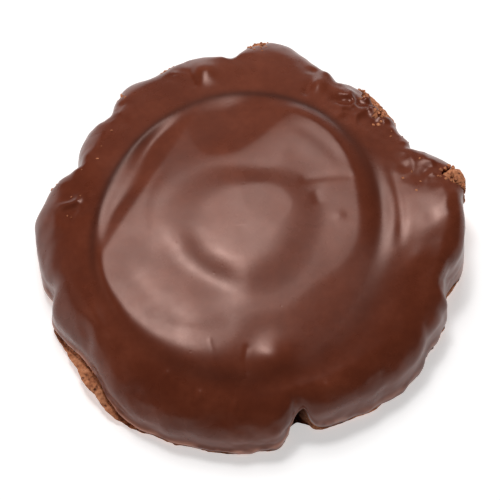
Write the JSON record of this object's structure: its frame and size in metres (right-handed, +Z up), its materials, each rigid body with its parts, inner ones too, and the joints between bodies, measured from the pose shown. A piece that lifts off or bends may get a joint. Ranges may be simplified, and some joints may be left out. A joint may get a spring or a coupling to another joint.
{
  "type": "afghan biscuit",
  "caption": "Round cocoa biscuit under a poured chocolate coat with a raised middle, a shallow ring-shaped dip, a lobed edge and bare crumb showing under the hem.",
  "frame": {"origin": "on the floor plane, below the middle of the outline", "axes": "+Z up out of the chocolate top; the side with the deep nick faces -Y, the long lobe faces +Y, +X is to the right seen from the nick"},
  "size_m": [0.0716, 0.0754, 0.0159],
  "materials": {
    "cocoa_biscuit": "dry sandy cocoa crumb, pitted",
    "chocolate_coat": "smooth set chocolate with a soft sheen"
  },
  "bodies": {
    "root": {"cocoa_biscuit": "cocoa_biscuit", "chocolate_coat": "chocolate_coat"}
  },
  "joints": []
}
